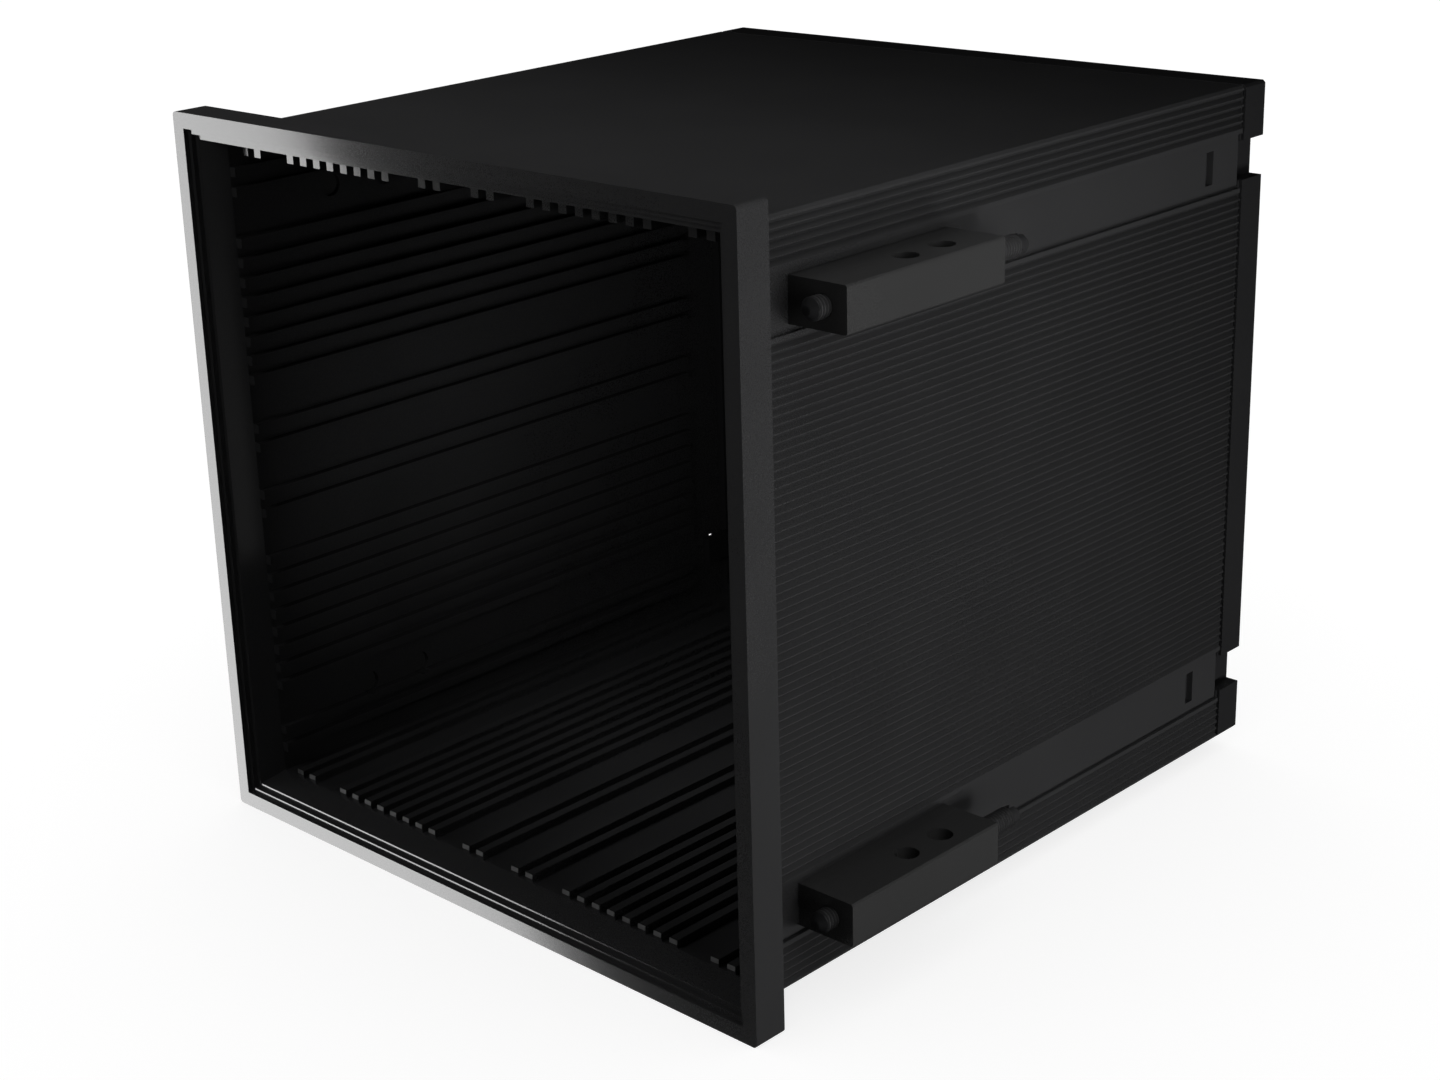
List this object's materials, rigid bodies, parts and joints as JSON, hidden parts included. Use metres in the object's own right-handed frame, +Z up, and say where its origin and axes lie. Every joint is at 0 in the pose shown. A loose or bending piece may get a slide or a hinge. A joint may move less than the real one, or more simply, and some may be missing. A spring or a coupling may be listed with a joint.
{
  "type": "panel mount enclosure",
  "caption": "Square black plastic panel mount enclosure with an open stepped front, ribbed sides, inner board guides, a snap-in rear cover and side clamps with set screws.",
  "frame": {"origin": "centre of the panel seat, the back face of the front flange", "axes": "+X to the right seen from the front, +Y to the back through the panel, +Z up"},
  "size_m": [0.158, 0.1543, 0.144],
  "materials": {
    "case_plastic": "finely textured black moulded plastic",
    "cover_plastic": "finely textured black moulded plastic",
    "clamp_plastic": "smooth black moulded plastic",
    "screw_steel": "black oxide steel"
  },
  "bodies": {
    "enclosure": {"case": "case_plastic", "rear_cover": "cover_plastic", "clamp_upper_right": "clamp_plastic", "clamp_lower_right": "clamp_plastic", "clamp_upper_left": "clamp_plastic", "clamp_lower_left": "clamp_plastic"},
    "upper_right_screw": {"screw_upper_right": "screw_steel"},
    "lower_right_screw": {"screw_lower_right": "screw_steel"},
    "upper_left_screw": {"screw_upper_left": "screw_steel"},
    "lower_left_screw": {"screw_lower_left": "screw_steel"}
  },
  "joints": [
    {"name": "upper_right_travel", "type": "slide", "parent": "enclosure", "child": "upper_right_screw", "axis": [0, -1, 0], "range_m": [-0.0038, 0.005]},
    {"name": "lower_right_travel", "type": "slide", "parent": "enclosure", "child": "lower_right_screw", "axis": [0, -1, 0], "range_m": [-0.0038, 0.005]},
    {"name": "upper_left_travel", "type": "slide", "parent": "enclosure", "child": "upper_left_screw", "axis": [0, -1, 0], "range_m": [-0.0038, 0.005]},
    {"name": "lower_left_travel", "type": "slide", "parent": "enclosure", "child": "lower_left_screw", "axis": [0, -1, 0], "range_m": [-0.0038, 0.005]}
  ]
}
